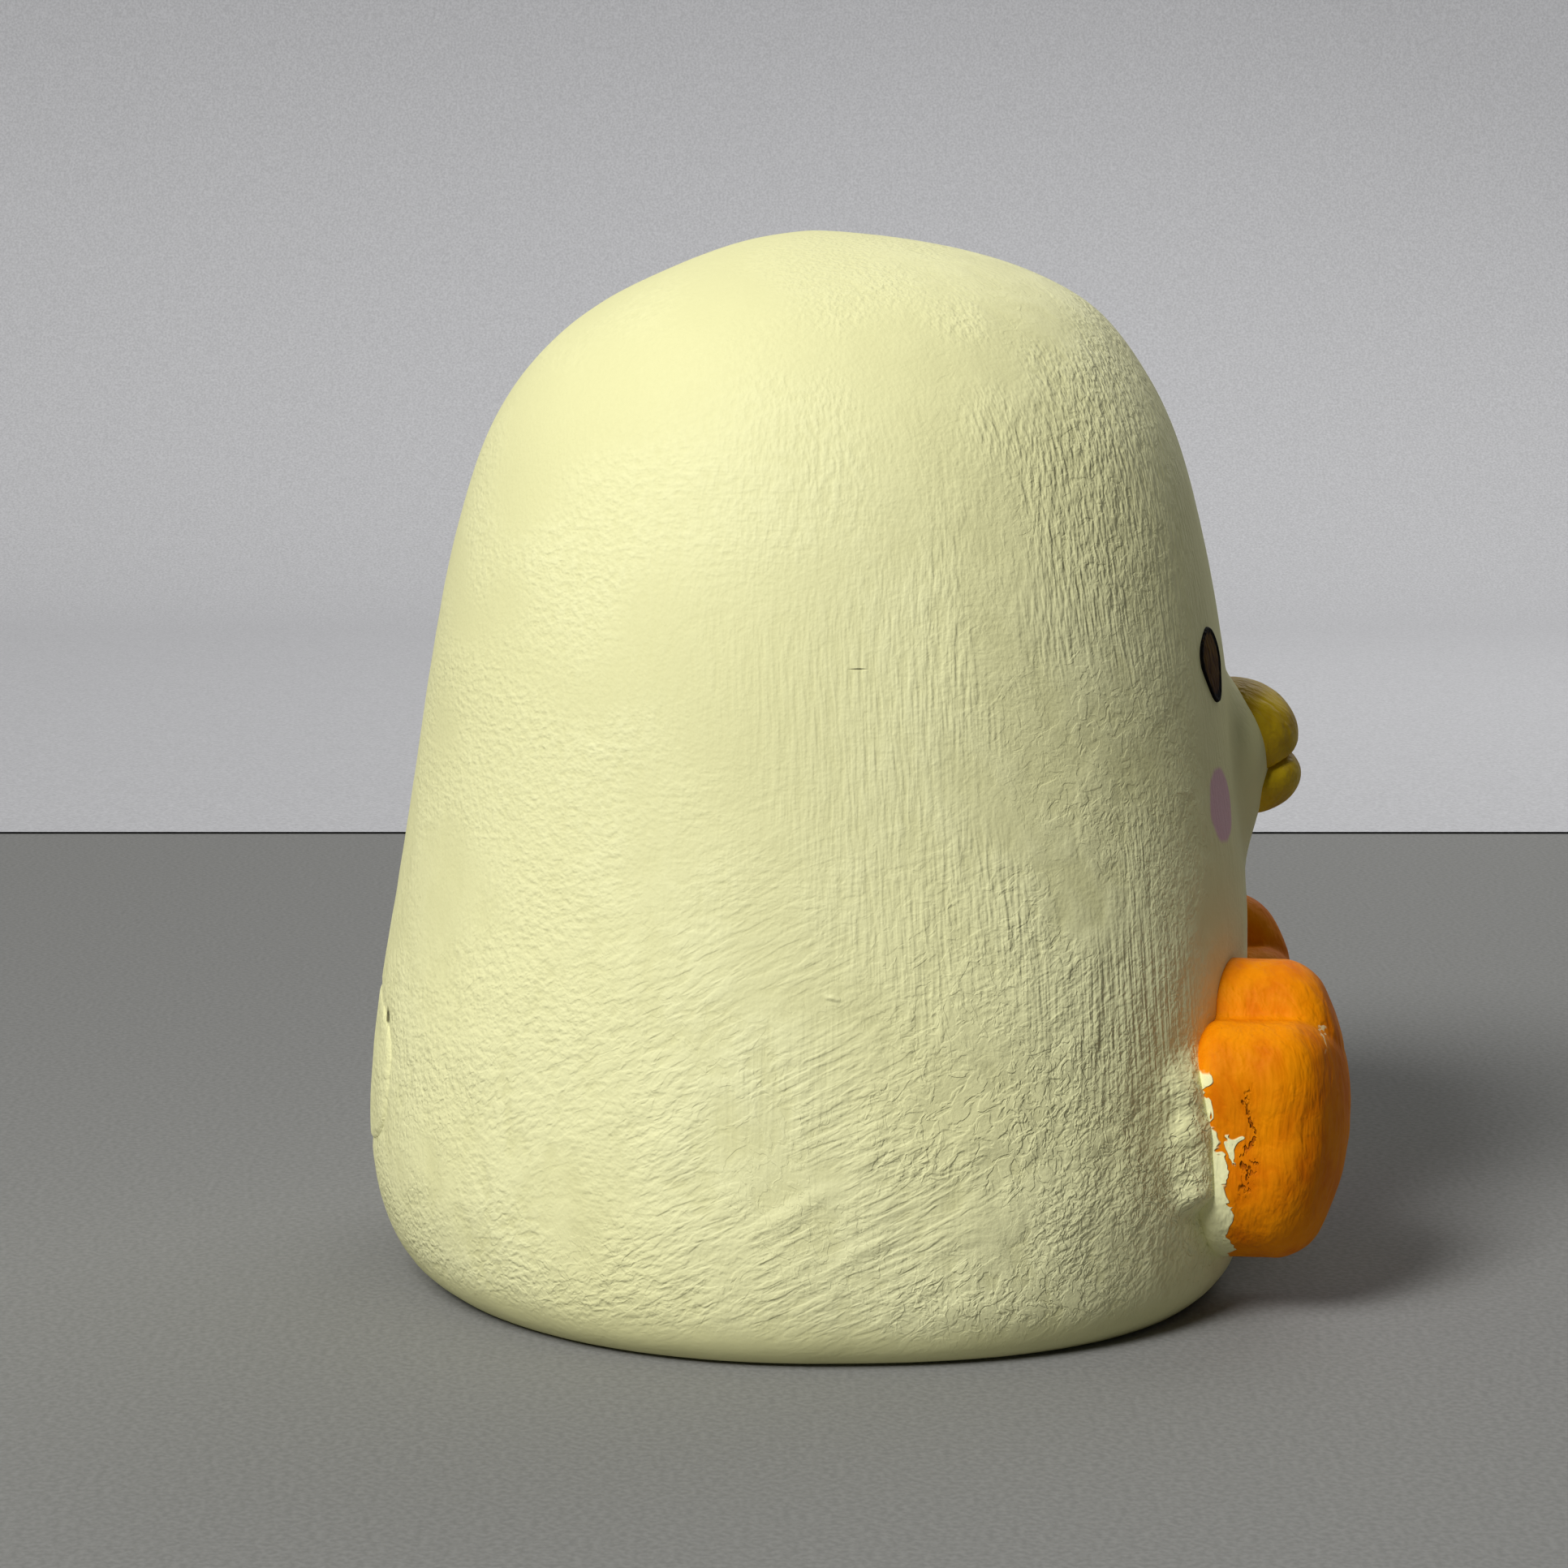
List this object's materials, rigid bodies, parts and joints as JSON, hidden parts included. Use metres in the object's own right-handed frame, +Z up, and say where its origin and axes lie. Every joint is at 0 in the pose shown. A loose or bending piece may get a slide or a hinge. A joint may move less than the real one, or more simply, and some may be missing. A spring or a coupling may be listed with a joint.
{
  "type": "vinyl art toy",
  "caption": "Hollow dome-bodied toy chick with a small beak, upturned feet and a snap-in base, painted by hand.",
  "frame": {"origin": "middle of the flat face under the foam pad that the toy stands on", "axes": "+Z up, the chick faces -Y and its left side is +X"},
  "size_m": [0.0728, 0.0754, 0.0797],
  "materials": {
    "cream_paint": "brushed matte acrylic paint over vinyl",
    "bare_vinyl": "satin, as cast",
    "foam": "closed-cell foam, matte",
    "yellow_paint": "brushed acrylic paint over vinyl",
    "orange_paint": "brushed satin acrylic paint over vinyl",
    "brown_paint": "thick dark acrylic paint with a soft sheen"
  },
  "bodies": {
    "root": {"body_shell": "cream_paint", "base_plug": "bare_vinyl", "base_pad": "foam", "beak_upper": "yellow_paint", "beak_lower": "yellow_paint", "tail": "cream_paint", "eye_right": "brown_paint", "eye_left": "brown_paint", "foot_right_back": "orange_paint", "foot_right_sole": "orange_paint", "foot_left_back": "orange_paint", "foot_left_sole": "orange_paint"}
  },
  "joints": []
}
